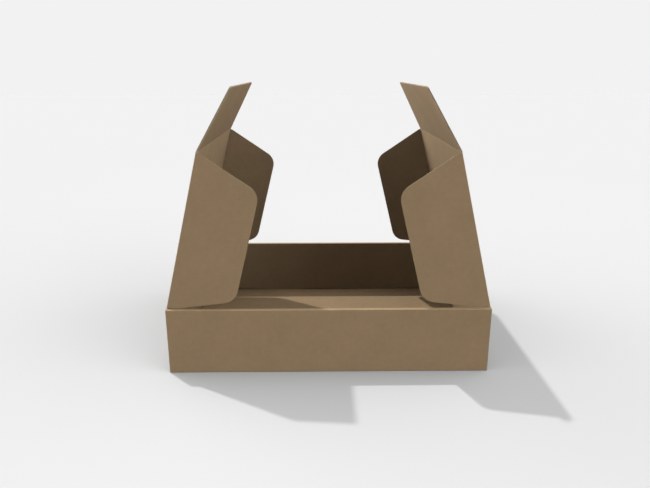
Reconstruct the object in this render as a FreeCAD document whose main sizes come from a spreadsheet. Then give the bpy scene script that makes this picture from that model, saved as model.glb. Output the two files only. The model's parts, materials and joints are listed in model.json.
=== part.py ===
import FreeCAD
import Part
import os
import Sketcher

# Flip top box of kraft corrugated board: a tray with two opposed lids.
#
# The whole box is one sheet of board, folded. The tray has a floor, single side walls and
# double front and back walls, whose inner panels lock into slots in the floor. A lid is hinged
# on the top edge of each side wall. Each lid carries a dust flap on its front and back edges
# and a tapered tuck flap on its free end. The lids stand open and lean inwards.
#
# Frame: origin at the middle of the tray's underside, +X right, +Y back, +Z up.
# Lengths are in millimetres and angles in degrees.

# ---------------------------------------------------------------- driving dimensions

SIZES = {
    "box_width": 300.0,           # outside, over the side walls
    "box_depth": 220.0,           # outside, over the front and back walls
    "box_height": 63.0,           # underside to the top of the double walls
    "board": 1.4,                 # thickness of the board
    "layer_gap": 0.1,             # air between the layers of a double wall
    "fold_gap": 0.05,             # air between a fold's round edge and the panel beside it
    "inner_panel_lift": 1.2,      # air between the floor and a double wall's inner panel
    "inner_panel_side_gap": 0.3,  # air between that panel's ends and the side walls
    "locking_tab_width": 60.5,
    "locking_tab_centre": 58.75,  # from the middle of the box
    "slot_gap": 0.15,             # air round a locking tab in its slot
    "corner_tab_length": 65.0,
    "corner_tab_taper": 6.0,      # taken off the top and the bottom at the free end
    "side_shoulder": 2.15,        # how far the side walls' ends drop under the double walls
    "flap_side_gap": 0.4,         # air between a closed dust flap and the double wall
    "lid_meeting_gap": 0.4,       # air between the two tuck flaps when both lids are closed
    "lid_lean": 76.1,             # an open lid's angle from its closed position
    "flap_reach": 59.7,           # fold to free edge
    "flap_slope": 20.4,           # slant of the two ends of a dust flap
    "flap_corner": 15.0,          # corner radius
    "flap_inset": 1.1,            # from the lid's folds to the dust flap's root
    "tuck_bend": 14.6,            # tuck flap's angle from flat
    "tuck_reach": 60.5,           # fold to free edge
    "tuck_taper": 17.5,           # taken off each end at the free edge
    "tuck_corner": 3.0,           # corner radius
}

# ---------------------------------------------------------------- derived sizes
# Expressions on the spreadsheet's cells, for sketches, features and placements.

BOARD = "Sizes.board"
HALF_BOARD = "(Sizes.board / 2)"
HALF_WIDTH = "(Sizes.box_width / 2)"
HALF_DEPTH = "(Sizes.box_depth / 2)"
HEIGHT = "Sizes.box_height"

# A fold that moves is a round edge, half the board in radius, in a seat that hugs it.
SEAT = f"({HALF_BOARD} + Sizes.fold_gap)"

# Double walls: outer panel, corner tab and inner panel, under a flat folded top. Sizes are
# taken on the back wall, and the front wall mirrors it.
WALL = f"(3 * {BOARD} + 2 * Sizes.layer_gap)"
WALL_INNER_FACE = f"({HALF_DEPTH} - {WALL})"
WALL_OUTER_LAYER = f"({HALF_DEPTH} - {BOARD})"
WALL_UNDERSIDE = f"({HEIGHT} - {BOARD})"
WALL_RETURN = f"({WALL_UNDERSIDE} - {BOARD})"      # where the folded top meets the inner panel
INNER_PANEL_BACK = f"({WALL_INNER_FACE} + {BOARD})"
INNER_PANEL_BOTTOM = f"({BOARD} + Sizes.inner_panel_lift)"
INNER_PANEL_END = f"({HALF_WIDTH} - {BOARD} - Sizes.inner_panel_side_gap)"

# Single side walls, between the double walls' outer panels.
SIDE_END = f"({WALL_OUTER_LAYER} - Sizes.layer_gap)"
SIDE_INNER_FACE = f"({HALF_WIDTH} - {BOARD})"
SIDE_TOP = f"({HEIGHT} - {SEAT})"
SIDE_SHOULDER = f"({SIDE_TOP} - Sizes.side_shoulder)"
SIDE_FOOT = f"(2 * {BOARD})"      # top of the strip that the floor turns up into each wall
CORNER_TAB_END = f"({HALF_WIDTH} - Sizes.corner_tab_length)"

# Lids: the hinge line is in the middle of the side wall's thickness.
HINGE_X = f"({HALF_WIDTH} - {HALF_BOARD})"
LID_LENGTH = f"({HINGE_X} - {HALF_BOARD} - Sizes.lid_meeting_gap / 2)"
LID_HALF_DEPTH = f"({WALL_INNER_FACE} - Sizes.flap_side_gap)"
FLAP_AXIS = f"({LID_HALF_DEPTH} - {HALF_BOARD})"
FLAP_RUN = "tan(Sizes.flap_slope * 1 deg)"
FLAP_END = f"({FLAP_RUN} * (Sizes.flap_reach + {HALF_BOARD}))"
FLAP_RELIEF = f"(Sizes.flap_inset / {FLAP_RUN} - {HALF_BOARD})"
SHOULDER_START = f"({LID_HALF_DEPTH} + Sizes.flap_side_gap / 2)"
TUCK_HALF_DEPTH = f"({LID_HALF_DEPTH} - Sizes.flap_side_gap / 2)"

# How far a cut runs past the board, so that it goes right through.
PAST = f"(3 * {BOARD})"

# ---------------------------------------------------------------- helpers

doc = FreeCAD.newDocument("flip_top_box")


def make_sheet():
    """Put the driving dimensions in a spreadsheet, one aliased cell each."""
    sheet = doc.addObject("Spreadsheet::Sheet", "Sizes")
    for row, (alias, size) in enumerate(SIZES.items(), start=1):
        sheet.set(f"A{row}", alias)
        sheet.set(f"B{row}", str(size))
        sheet.setAlias(f"B{row}", alias)
    doc.recompute()


def make_body(name):
    """A PartDesign body whose label is the sub-part's name."""
    body = doc.addObject("PartDesign::Body", name)
    body.Label = name
    return body


def origin_plane(body, role):
    return next(item for item in body.Origin.OriginFeatures if item.Role == role)


def make_sketch(body, name, role, lift="0"):
    """A sketch on one of the body's origin planes, lifted along that plane's normal."""
    sketch = body.newObject("Sketcher::SketchObject", name)
    sketch.AttachmentSupport = (origin_plane(body, role), [""])
    sketch.MapMode = "FlatFace"
    sketch.setExpression("AttachmentOffset.Base.z", lift)
    return sketch


def value_of(sketch, expression):
    result = sketch.evalExpression(expression)
    return float(getattr(result, "Value", result))


def constrain(sketch, constraint, expression):
    index = sketch.addConstraint(constraint)
    sketch.setExpression(f"Constraints[{index}]", expression)


def pin(sketch, item, end, spot):
    """Fix one end of a sketch's line or arc to the expressions in spot, (across, up)."""
    point = sketch.getPoint(item, end)
    for kind, now, expression in (("DistanceX", point.x, spot[0]), ("DistanceY", point.y, spot[1])):
        constrain(sketch, Sketcher.Constraint(kind, -1, 1, item, end, now), expression)


def add_outline(sketch, corners):
    """Draw a closed outline; each corner is (across, up), or (across, up, radius)."""
    spots = [FreeCAD.Vector(value_of(sketch, corner[0]), value_of(sketch, corner[1]), 0)
             for corner in corners]
    first = sketch.GeometryCount
    count = len(corners)
    for i in range(count):
        sketch.addGeometry(Part.LineSegment(spots[i], spots[(i + 1) % count]), False)
    for i in range(count):
        before = first + (i - 1) % count
        sketch.addConstraint(Sketcher.Constraint("Coincident", before, 2, first + i, 1))
        pin(sketch, first + i, 1, corners[i])
    for i, corner in enumerate(corners):
        if len(corner) == 3:
            radius = value_of(sketch, corner[2])
            arc = sketch.GeometryCount
            sketch.fillet(first + i, 1, radius, True, True)
            constrain(sketch, Sketcher.Constraint("Radius", arc, radius), corner[2])


def add_round_edge(sketch):
    """Draw a fold's round edge, a circle as wide as the board, at the sketch's origin."""
    sketch.addGeometry(Part.Circle(FreeCAD.Vector(), FreeCAD.Vector(0, 0, 1), 1), False)
    circle = sketch.GeometryCount - 1
    sketch.addConstraint(Sketcher.Constraint("Coincident", circle, 3, -1, 1))
    constrain(sketch, Sketcher.Constraint("Radius", circle, 1), HALF_BOARD)


def add_seat(sketch, axis, side):
    """Draw what a fold's seat cuts off a panel's edge.

    The fold turns about the point axis on the side, +1 or -1, of the sketch's origin where the
    edge lies. The cut hugs the round edge above the panel's mid-plane, and is square below it,
    where the folded flap stands.
    """
    sign = "" if side > 0 else "-"
    middle = side * value_of(sketch, axis)
    reach = value_of(sketch, SEAT)
    half = value_of(sketch, HALF_BOARD)
    past = value_of(sketch, PAST)
    inner = middle - side * reach
    lip = middle - side * (reach ** 2 - half ** 2) ** 0.5
    spots = [(inner, 0), (inner, -past), (middle + side * past, -past),
             (middle + side * past, past), (lip, past), (lip, half)]
    points = [FreeCAD.Vector(across, up, 0) for across, up in spots]
    lines = range(sketch.GeometryCount, sketch.GeometryCount + 5)
    for start, end in zip(points[:-1], points[1:]):
        sketch.addGeometry(Part.LineSegment(start, end), False)
    circle = Part.Circle(FreeCAD.Vector(middle, 0, 0), FreeCAD.Vector(0, 0, 1), reach)
    ends = sorted((circle.parameter(points[0]), circle.parameter(points[-1])))
    sketch.addGeometry(Part.ArcOfCircle(circle, *ends), False)
    arc = sketch.GeometryCount - 1

    below, bottom, outside, top, above = lines
    low_end, high_end = (2, 1) if side > 0 else (1, 2)
    joins = ((below, 2, bottom, 1), (bottom, 2, outside, 1), (outside, 2, top, 1),
             (top, 2, above, 1), (above, 2, arc, high_end), (arc, low_end, below, 1))
    for join in joins:
        sketch.addConstraint(Sketcher.Constraint("Coincident", *join))
    for line in (bottom, top):
        sketch.addConstraint(Sketcher.Constraint("Horizontal", line))
    for line in (outside, above):
        sketch.addConstraint(Sketcher.Constraint("Vertical", line))
    pin(sketch, below, 1, (f"{sign}({axis} - {SEAT})", "0"))
    pin(sketch, bottom, 1, (f"{sign}({axis} - {SEAT})", f"-{PAST}"))
    pin(sketch, outside, 2, (f"{sign}({axis} + {PAST})", PAST))
    pin(sketch, arc, 3, (f"{sign}{axis}", "0"))
    constrain(sketch, Sketcher.Constraint("DistanceY", -1, 1, above, 2, half), HALF_BOARD)


def make_feature(body, kind, name, sketch, length, side_type, backwards):
    """Pad or pocket a sketch, and make sure that the body's volume changed."""
    doc.recompute()
    before = body.Shape.Volume if body.Tip else 0.0
    feature = body.newObject(f"PartDesign::{kind}", name)
    feature.Profile = sketch
    feature.SideType = side_type
    feature.Reversed = backwards
    feature.setExpression("Length", length)
    doc.recompute()
    change = feature.Shape.Volume - before
    if (change > 0) != (kind == "Pad") or abs(change) < 1e-6:
        raise RuntimeError(f"{body.Label}: {name} changed the volume by {change:.3f}")
    return feature


def pad(body, name, sketch, length, side_type="One side", backwards=False):
    return make_feature(body, "Pad", name, sketch, length, side_type, backwards)


def pocket(body, name, sketch, length, side_type="Symmetric", backwards=False):
    return make_feature(body, "Pocket", name, sketch, length, side_type, backwards)


def rectangle(low_across, low_up, high_across, high_up):
    return [(low_across, low_up), (high_across, low_up), (high_across, high_up), (low_across, high_up)]


def mirrored_corners(corners, side):
    """The outline as it is for side +1, or turned over about the up axis for side -1."""
    if side > 0:
        return corners
    return [(f"-({corner[0]})", *corner[1:]) for corner in corners]


# ---------------------------------------------------------------- tray

def add_floor(body):
    """Floor, whose long sides turn up into the side walls over a rounded fold."""
    section = make_sketch(body, "floor_section", "XZ_Plane")
    add_outline(section, [
        (f"-{HALF_WIDTH}", "0", BOARD),
        (HALF_WIDTH, "0", BOARD),
        (HALF_WIDTH, SIDE_FOOT),
        (SIDE_INNER_FACE, SIDE_FOOT),
        (SIDE_INNER_FACE, BOARD),
        (f"-{SIDE_INNER_FACE}", BOARD),
        (f"-{SIDE_INNER_FACE}", SIDE_FOOT),
        (f"-{HALF_WIDTH}", SIDE_FOOT),
    ])
    pad(body, "floor", section, f"2 * {SIDE_END}", "Symmetric")


def add_side_walls(body):
    """Single side walls, each with a corner tab folded inwards at both ends."""
    plan = make_sketch(body, "side_wall_plan", "XY_Plane", SIDE_FOOT)
    tab_face = f"({SIDE_END} - {BOARD})"
    for side in (-1, 1):
        add_outline(plan, mirrored_corners([
            (CORNER_TAB_END, f"-{SIDE_END}"),
            (HALF_WIDTH, f"-{SIDE_END}", BOARD),
            (HALF_WIDTH, SIDE_END, BOARD),
            (CORNER_TAB_END, SIDE_END),
            (CORNER_TAB_END, tab_face),
            (SIDE_INNER_FACE, tab_face),
            (SIDE_INNER_FACE, f"-{tab_face}"),
            (CORNER_TAB_END, f"-{tab_face}"),
        ], side))
    pad(body, "side_walls", plan, f"{SIDE_TOP} - {SIDE_FOOT}")


def trim_corner_tabs(body):
    """Taper the corner tabs towards their free ends, above and below."""
    front = make_sketch(body, "corner_tab_trim", "XZ_Plane")
    for side in (-1, 1):
        for edge, inwards in ((SIDE_FOOT, "+"), (SIDE_SHOULDER, "-")):
            add_outline(front, mirrored_corners([
                (CORNER_TAB_END, edge),
                (SIDE_INNER_FACE, edge),
                (CORNER_TAB_END, f"{edge} {inwards} Sizes.corner_tab_taper"),
            ], side))
    pocket(body, "corner_tab_taper", front, f"3 * {HALF_DEPTH}")


def drop_side_shoulders(body):
    """Lower the side walls' ends, so that they pass under the double walls' folded tops."""
    section = make_sketch(body, "shoulder_section", "YZ_Plane")
    for side in (-1, 1):
        add_outline(section, mirrored_corners(
            rectangle(SHOULDER_START, SIDE_SHOULDER, HALF_DEPTH, HEIGHT), side))
    pocket(body, "side_shoulders", section, f"3 * {HALF_WIDTH}")


def add_double_walls(body):
    """Front and back walls: outer panel, flat folded top, and the inner panel inside."""
    shell = make_sketch(body, "double_wall_shell_section", "YZ_Plane")
    inner = make_sketch(body, "inner_panel_section", "YZ_Plane")
    for side in (-1, 1):
        add_outline(shell, mirrored_corners([
            (SIDE_END, "0"),
            (HALF_DEPTH, "0", BOARD),
            (HALF_DEPTH, HEIGHT, BOARD),
            (WALL_INNER_FACE, HEIGHT, BOARD),
            (WALL_INNER_FACE, WALL_RETURN),
            (INNER_PANEL_BACK, WALL_RETURN),
            (INNER_PANEL_BACK, WALL_UNDERSIDE),
            (WALL_OUTER_LAYER, WALL_UNDERSIDE),
            (WALL_OUTER_LAYER, BOARD),
            (SIDE_END, BOARD),
        ], side))
        add_outline(inner, mirrored_corners(
            rectangle(WALL_INNER_FACE, INNER_PANEL_BOTTOM, INNER_PANEL_BACK, WALL_RETURN), side))
    pad(body, "double_wall_shell", shell, f"2 * {HALF_WIDTH}", "Symmetric")
    pad(body, "inner_panels", inner, f"2 * {INNER_PANEL_END}", "Symmetric")


def add_locking_tabs(body):
    """Two tabs on each inner panel, in slots that go through the floor."""
    slots = make_sketch(body, "slot_plan", "XY_Plane")
    tabs = make_sketch(body, "locking_tab_plan", "XY_Plane")
    for across in (-1, 1):
        for side in (-1, 1):
            for plan, gap in ((slots, "Sizes.slot_gap"), (tabs, "0")):
                half = f"(Sizes.locking_tab_width / 2 + {gap})"
                near = f"({WALL_INNER_FACE} - {gap})"
                far = f"({INNER_PANEL_BACK} + {gap})"
                sign = "" if side > 0 else "-"
                add_outline(plan, mirrored_corners(
                    rectangle(f"Sizes.locking_tab_centre - {half}", f"{sign}{near}",
                              f"Sizes.locking_tab_centre + {half}", f"{sign}{far}"), across))
    pocket(body, "floor_slots", slots, BOARD, "One side", backwards=True)
    pad(body, "locking_tabs", tabs, INNER_PANEL_BOTTOM)


def make_tray():
    body = make_body("tray")
    add_floor(body)
    add_side_walls(body)
    trim_corner_tabs(body)
    drop_side_shoulders(body)
    add_double_walls(body)
    add_locking_tabs(body)
    return body


# ---------------------------------------------------------------- lids and their flaps
# Each panel is drawn flat: +X away from its fold (along the lid for a lid), +Z on the
# box's outside.

def add_panel_edge(body, role, length, lift="0", side_type="Symmetric"):
    """The round edge that a panel turns on, along its fold."""
    section = make_sketch(body, "round_edge_section", role, lift)
    add_round_edge(section)
    pad(body, "round_edge", section, length, side_type)


def make_lid(name):
    """Lid: hinge edge along Y at X = 0, dust flap folds at its sides, tuck fold at its end."""
    body = make_body(name)
    plan = make_sketch(body, "lid_plan", "XY_Plane")
    add_outline(plan, rectangle("0", f"-{LID_HALF_DEPTH}", LID_LENGTH, LID_HALF_DEPTH))
    pad(body, "lid_panel", plan, BOARD, "Symmetric")
    add_panel_edge(body, "XZ_Plane", f"2 * {LID_HALF_DEPTH}")

    end_section = make_sketch(body, "tuck_seat_section", "XZ_Plane")
    add_seat(end_section, LID_LENGTH, 1)
    pocket(body, "tuck_seat", end_section, f"3 * {LID_HALF_DEPTH}")

    seat_start = "Sizes.flap_inset - 2 * Sizes.fold_gap"
    side_section = make_sketch(body, "flap_seat_section", "YZ_Plane", seat_start)
    for side in (-1, 1):
        add_seat(side_section, FLAP_AXIS, side)
    pocket(body, "flap_seats", side_section, LID_LENGTH, "One side", backwards=True)
    return body


def make_dust_flap(name):
    """Dust flap: root along X at Y = 0, slanted ends, and two rounded free corners."""
    body = make_body(name)
    root_end = f"({LID_LENGTH} - Sizes.flap_inset)"
    plan = make_sketch(body, "flap_plan", "XY_Plane")
    add_outline(plan, [
        ("Sizes.flap_inset", "0"),
        (root_end, "0"),
        (root_end, FLAP_RELIEF),
        (f"{LID_LENGTH} - {FLAP_END}", "Sizes.flap_reach", "Sizes.flap_corner"),
        (FLAP_END, "Sizes.flap_reach", "Sizes.flap_corner"),
        ("Sizes.flap_inset", FLAP_RELIEF),
    ])
    pad(body, "flap_panel", plan, BOARD, "Symmetric")
    add_panel_edge(body, "YZ_Plane", f"{LID_LENGTH} - 2 * Sizes.flap_inset",
                   "Sizes.flap_inset", "One side")
    return body


def make_tuck_flap(name):
    """Tuck flap: fold along Y at X = 0, narrowing to a free edge with rounded corners."""
    body = make_body(name)
    free_half_depth = f"({TUCK_HALF_DEPTH} - Sizes.tuck_taper)"
    plan = make_sketch(body, "tuck_plan", "XY_Plane")
    add_outline(plan, [
        ("0", f"-{TUCK_HALF_DEPTH}"),
        ("Sizes.tuck_reach", f"-{free_half_depth}", "Sizes.tuck_corner"),
        ("Sizes.tuck_reach", free_half_depth, "Sizes.tuck_corner"),
        ("0", TUCK_HALF_DEPTH),
    ])
    pad(body, "tuck_panel", plan, BOARD, "Symmetric")
    add_panel_edge(body, "XZ_Plane", f"2 * {TUCK_HALF_DEPTH}")
    return body


def placement(across="0", depth="0", up="0", axis="0; 0; 1", angle="0"):
    """Text of a placement for the expression engine."""
    return f"placement(vector({across}; {depth}; {up}); rotation(vector({axis}); {angle}))"


def make_side(side):
    """The left or right lid with its flaps, each placed on the panel that carries it."""
    lid = make_lid(f"{side}_lid")
    leaning = placement(across=f"-{HINGE_X}", up=HEIGHT, axis="0; 1; 0", angle="-Sizes.lid_lean")
    half_turn = placement(angle="180")
    lid.setExpression("Placement", leaning if side == "left" else f"{half_turn} * {leaning}")

    folded = placement(axis="1; 0; 0", angle="-90")
    plus_edge = f"{placement(depth=FLAP_AXIS)} * {folded}"
    minus_edge = f"{placement(LID_LENGTH, f'-{FLAP_AXIS}', angle='180')} * {folded}"
    front, back = (minus_edge, plus_edge) if side == "left" else (plus_edge, minus_edge)
    for end, on_lid in (("front", front), ("back", back)):
        flap = make_dust_flap(f"{side}_{end}_flap")
        flap.setExpression("Placement", f"{side}_lid.Placement * {on_lid}")

    tuck = make_tuck_flap(f"{side}_tuck_flap")
    bent = placement(across=LID_LENGTH, axis="0; 1; 0", angle="Sizes.tuck_bend")
    tuck.setExpression("Placement", f"{side}_lid.Placement * {bent}")


# ---------------------------------------------------------------- check and export

def check_document():
    """Stop if any object of the document failed, or a sub-part has no sound solid."""
    for item in doc.Objects:
        if "Invalid" in item.State or "Error" in item.State:
            raise RuntimeError(f"{item.Name} failed: {item.State}")
        if item.TypeId == "Sketcher::SketchObject" and not item.FullyConstrained:
            raise RuntimeError(f"{item.Name} isn't fully constrained")
    for body in bodies():
        if body.Shape.isNull() or not body.Shape.isValid() or len(body.Shape.Solids) != 1:
            raise RuntimeError(f"{body.Label} isn't one valid solid")


def bodies():
    return [item for item in doc.Objects if item.TypeId == "PartDesign::Body"]


def export_parts():
    os.makedirs("parts", exist_ok=True)
    for body in bodies():
        body.Shape.exportStep(f"parts/{body.Label}.step")
        box = body.Shape.BoundBox
        print(f"{body.Label}: {body.Shape.Volume / 1000:.2f} cm3, "
              f"x {box.XMin:.2f}..{box.XMax:.2f}, y {box.YMin:.2f}..{box.YMax:.2f}, "
              f"z {box.ZMin:.2f}..{box.ZMax:.2f}")


make_sheet()
make_tray()
for side_name in ("left", "right"):
    make_side(side_name)
doc.recompute()
check_document()
export_parts()
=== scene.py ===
# %% [markdown]
# # A flip top box of kraft corrugated board
#
# The box is one sheet of corrugated board, cut and folded: a shallow tray, and two lids that
# meet in the middle when they close. The construction model gives every place and every
# joint. The cells below give that model its board: two paper liners, the fluting that shows
# between them at each cut edge, the creases, and the colour of the paper. Lengths are in
# metres, as Blender wants them.

# %% Load the construction model
import bpy
import bmesh
import json
import math
from mathutils import Matrix, Vector
from mathutils.geometry import tessellate_polygon


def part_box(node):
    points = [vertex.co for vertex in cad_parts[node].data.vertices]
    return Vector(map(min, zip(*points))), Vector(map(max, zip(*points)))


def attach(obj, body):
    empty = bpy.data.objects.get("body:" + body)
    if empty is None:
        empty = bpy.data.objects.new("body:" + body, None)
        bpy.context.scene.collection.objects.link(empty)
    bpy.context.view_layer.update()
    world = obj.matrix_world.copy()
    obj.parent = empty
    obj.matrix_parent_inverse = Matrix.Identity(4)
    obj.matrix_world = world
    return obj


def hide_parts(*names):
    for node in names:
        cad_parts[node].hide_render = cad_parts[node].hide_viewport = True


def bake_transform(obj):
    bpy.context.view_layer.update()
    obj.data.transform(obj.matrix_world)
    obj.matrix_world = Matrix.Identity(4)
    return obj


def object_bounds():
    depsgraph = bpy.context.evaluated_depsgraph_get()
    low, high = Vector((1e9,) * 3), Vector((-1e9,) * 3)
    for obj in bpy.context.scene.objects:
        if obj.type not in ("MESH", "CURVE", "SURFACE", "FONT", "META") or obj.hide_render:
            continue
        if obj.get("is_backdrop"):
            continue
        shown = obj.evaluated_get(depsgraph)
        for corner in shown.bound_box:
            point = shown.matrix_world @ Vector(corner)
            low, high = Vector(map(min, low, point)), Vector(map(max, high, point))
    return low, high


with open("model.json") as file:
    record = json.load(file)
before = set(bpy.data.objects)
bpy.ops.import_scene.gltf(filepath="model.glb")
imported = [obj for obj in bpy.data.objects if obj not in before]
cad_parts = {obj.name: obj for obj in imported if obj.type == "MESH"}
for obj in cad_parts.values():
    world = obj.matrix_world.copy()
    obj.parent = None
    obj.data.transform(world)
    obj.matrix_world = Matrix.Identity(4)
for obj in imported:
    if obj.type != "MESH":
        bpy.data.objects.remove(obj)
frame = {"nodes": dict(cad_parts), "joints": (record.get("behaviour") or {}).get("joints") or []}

MM = 0.001
cad_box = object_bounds()
print("nodes:", ", ".join(sorted(frame["nodes"])))

# %% [markdown]
# ## Read the sizes from the model
#
# A dressed part must fit its construction. The numbers could be typed in again, but then a
# change to the construction would leave the dress behind, so nothing is measured twice here.
# The tray's corners give the outside, a dust flap's corners give the board's thickness, and
# the joints give the fold lines. Only what a corner can't tell, such as a corner's radius, is
# written down as a number of its own, in the cell that needs it.

# %% Read the sizes of the board and the tray
HALF_WIDTH, HALF_DEPTH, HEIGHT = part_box("tray")[1]
flap_low, flap_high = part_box("left_front_flap")
BOARD = flap_high.y - flap_low.y
HALF_BOARD = BOARD / 2
LID_HALF_DEPTH = -flap_low.y
FLAP_AXIS = LID_HALF_DEPTH - HALF_BOARD    # from the box's middle to a dust flap's fold
print(f"tray {2 * HALF_WIDTH:.4f} x {2 * HALF_DEPTH:.4f} x {HEIGHT:.4f} m, board {BOARD:.4f} m")

# %% Read the fold lines of the lids
joints = {joint["name"]: joint for joint in frame["joints"]}
hinge_point = Vector(joints["left_lid_hinge"]["pos_m"])
tuck_point = Vector(joints["left_tuck_flap_fold"]["pos_m"])
lid_line = tuck_point - hinge_point
LID_LENGTH = lid_line.length
LID_LEAN = math.acos(lid_line.normalized().x)          # from its closed place
HINGE_BEND = math.pi / 2 - LID_LEAN                    # between the side wall and the lid
TUCK_BEND = math.radians(max(joints["left_tuck_flap_fold"]["range_deg"]))
print(f"lid {LID_LENGTH:.4f} m, leaning {math.degrees(LID_LEAN):.1f} deg,",
      f"tuck flap bent {math.degrees(TUCK_BEND):.1f} deg")

# %% [markdown]
# ## Paper
#
# Kraft paper isn't one brown. Long fibres cross it, mostly along the way the paper ran through
# the mill; the pulp lies thicker here and thinner there, which gives a faint cloud; and the
# flutes underneath print through as very faint stripes. A painted image could carry all this,
# but it would blur close up and repeat far off. Noise in the shader does neither.
#
# The three papers of the board, liner, fluting and cut edge, share these effects, so they are
# one node group with named inputs. It is placed on the map called "sheet": where each spot lay
# in the flat sheet, in metres. That way the fibres run straight on over every fold, as they do
# on a real box.

# %% Small helpers for node trees
def add_node(tree, kind, inputs=None, **settings):
    """Add a node, set its properties, and set or link its inputs by name or number."""
    node = tree.nodes.new(kind)
    for name, value in settings.items():
        setattr(node, name, value)
    for key, value in (inputs or {}).items():
        if isinstance(value, bpy.types.NodeSocket):
            tree.links.new(value, node.inputs[key])
        else:
            node.inputs[key].default_value = value
    return node


def calculate(tree, operation, *values):
    """A Math node on numbers or sockets."""
    inputs = dict(enumerate(values))
    return add_node(tree, "ShaderNodeMath", inputs, operation=operation).outputs[0]


def add_sockets(tree, in_out, sockets):
    """Give a node group its inputs or outputs, each a name, a kind and a default or None."""
    for name, kind, default in sockets:
        socket = tree.interface.new_socket(name, in_out=in_out, socket_type=f"NodeSocket{kind}")
        if default is not None:
            socket.default_value = default


print("helpers:", add_node.__name__, calculate.__name__, add_sockets.__name__)

# %% Build the paper group
FLUTE_PITCH = 3.2 * MM
FLUTE_RELIEF = 0.35                        # how high a flute prints through, beside the fibres
PAINTED_FOLD_LIGHT_STRENGTH = 0.02                       # how much painted highlight and painted shade a fold puts on the liner
PAPER_ROUGHNESS = 0.88
FIBRE_ROUGHNESS = 0.12                     # what a thick spot of fibres adds to it


def build_paper_group():
    """Colour, roughness and height of kraft paper over the flat sheet, with the painted
    highlight and painted shade of the folds.
    """
    tree = bpy.data.node_groups.new("kraft_paper", "ShaderNodeTree")
    add_sockets(tree, "INPUT", (
        ("Sheet place", "Vector", None), ("Pulp", "Color", (0.3, 0.2, 0.1, 1)),
        ("Cloud", "Float", 0.05), ("Fibre", "Float", 0.1),
        ("Flute stripe", "Float", 0.01), ("Painted fold light and shade", "Float", 0.0)))
    add_sockets(tree, "OUTPUT", (
        ("Colour", "Color", None), ("Roughness", "Float", None), ("Height", "Float", None)))
    given = add_node(tree, "NodeGroupInput").outputs

    def noise(scale, detail, stretch=(1, 1, 1), shift=0.0):
        place = add_node(tree, "ShaderNodeMapping", {
            "Vector": given["Sheet place"], "Location": (shift, shift, 0), "Scale": stretch})
        pattern = add_node(tree, "ShaderNodeTexNoise", {
            "Vector": place.outputs[0], "Scale": scale, "Detail": detail, "Roughness": 0.6})
        return calculate(tree, "SUBTRACT", pattern.outputs["Fac"], 0.5)

    wide_cloud = noise(scale=28, detail=2)
    cloud = noise(scale=190, detail=3, shift=3.1)
    long_fibres = noise(scale=900, detail=4, stretch=(1, 4.5, 1), shift=1.7)
    short_fibres = noise(scale=2400, detail=2, stretch=(1, 1.6, 1), shift=5.3)
    fibres = calculate(tree, "ADD", long_fibres, short_fibres)

    across = add_node(tree, "ShaderNodeSeparateXYZ", {0: given["Sheet place"]}).outputs["X"]
    turn = calculate(tree, "MULTIPLY", across, 2 * math.pi / FLUTE_PITCH)
    stripe = calculate(tree, "COSINE", turn)

    clouds = calculate(tree, "ADD", wide_cloud, cloud)
    lightness = calculate(tree, "MULTIPLY_ADD", clouds, given["Cloud"], 1)
    lightness = calculate(tree, "MULTIPLY_ADD", fibres, given["Fibre"], lightness)
    lightness = calculate(tree, "MULTIPLY_ADD", stripe, given["Flute stripe"], lightness)
    # Painted highlight and painted shade of the folds: lighter on the arcs and folded tops, darker
    # in the pressed lines.
    painted_fold_light = calculate(tree, "MULTIPLY", given["Painted fold light and shade"], calculate(tree, "ADD", fibres, 1.0))
    lightness = calculate(tree, "MULTIPLY_ADD", painted_fold_light, PAINTED_FOLD_LIGHT_STRENGTH, lightness)
    colour = add_node(tree, "ShaderNodeVectorMath", {
        0: given["Pulp"], "Scale": lightness}, operation="SCALE").outputs[0]

    roughness = calculate(tree, "MULTIPLY_ADD", fibres, FIBRE_ROUGHNESS, PAPER_ROUGHNESS)
    pulp_height = calculate(tree, "ADD", fibres, cloud)
    height = calculate(tree, "MULTIPLY_ADD", stripe, FLUTE_RELIEF, pulp_height)
    add_node(tree, "NodeGroupOutput", {
        "Colour": colour, "Roughness": roughness, "Height": height})
    return tree


paper_group = build_paper_group()
print("paper group:", len(paper_group.nodes), "nodes")

# %% Make the papers
LINER_BROWN = (0.582, 0.403, 0.230)
# The cut edge and the fluting are lighter than the liner: partly the cut paper's own tone, partly
# a painted highlight along the cut edges.
CUT_EDGE_BROWN_AND_HIGHLIGHT = (0.775, 0.604, 0.411)
FLUTING_BROWN_AND_HIGHLIGHT = (0.660, 0.511, 0.341)
PAPER_SHEEN = 0.4
BUMP_STRENGTH = 0.35


def make_paper(name, pulp, cloud, fibre, stripe, relief):
    """A paper of one brown, with how strong each of its patterns is, and its relief in metres."""
    material = bpy.data.materials.new(name)
    material.use_nodes = True
    tree = material.node_tree
    surface = tree.nodes["Principled BSDF"]
    sheet = add_node(tree, "ShaderNodeUVMap", uv_map="sheet")
    # The painted highlight and painted shade of the folds, kept on the corners of each piece.
    fold_light_and_shade = add_node(tree, "ShaderNodeAttribute", attribute_name="fold_light_and_shade")
    paper = add_node(tree, "ShaderNodeGroup", {
        "Sheet place": sheet.outputs["UV"], "Painted fold light and shade": fold_light_and_shade.outputs["Fac"], "Pulp": (*pulp, 1),
        "Cloud": cloud, "Fibre": fibre, "Flute stripe": stripe}, node_tree=paper_group)
    bump = add_node(tree, "ShaderNodeBump", {
        "Height": paper.outputs["Height"], "Strength": BUMP_STRENGTH, "Distance": relief})
    tree.links.new(paper.outputs["Colour"], surface.inputs["Base Color"])
    tree.links.new(paper.outputs["Roughness"], surface.inputs["Roughness"])
    tree.links.new(bump.outputs["Normal"], surface.inputs["Normal"])
    surface.inputs["Specular IOR Level"].default_value = PAPER_SHEEN
    return material


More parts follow.
